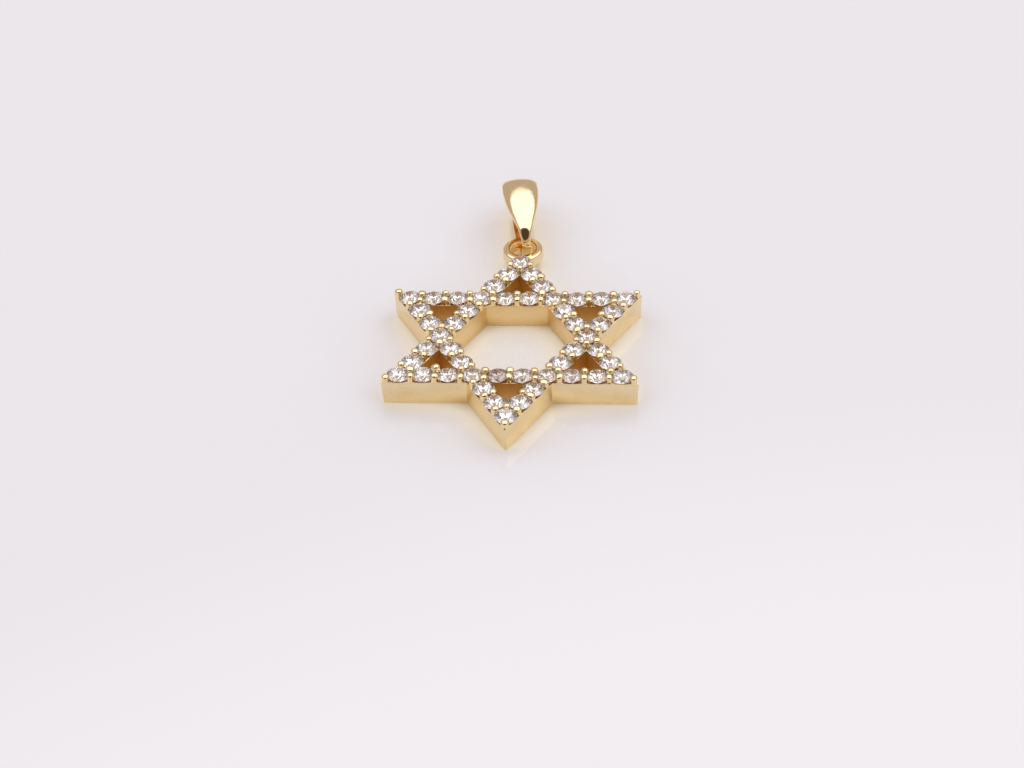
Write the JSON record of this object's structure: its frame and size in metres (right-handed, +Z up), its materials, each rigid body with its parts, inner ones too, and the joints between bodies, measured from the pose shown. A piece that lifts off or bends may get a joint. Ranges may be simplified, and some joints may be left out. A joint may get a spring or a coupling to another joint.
{
  "type": "star of david pendant",
  "caption": "Six-pointed star pendant of two crossing triangles set with round brilliants, with a soldered ring and a tapered bail for a chain.",
  "frame": {"origin": "on the surface that the pendant lies on, below the middle of the whole pendant's box", "axes": "+Y from the star's lower point to the bail, +Z up out of the stones' tables, +X to the right of the star seen from its face"},
  "size_m": [0.0156, 0.025, 0.0034],
  "materials": {
    "gold": "yellow gold, bars satin polished, beads, ring and bail bright polished",
    "diamond": "colourless round brilliants, cut and polished"
  },
  "bodies": {
    "root": {"star_frame": "gold", "stones": "diamond", "bail": "gold"}
  },
  "joints": []
}
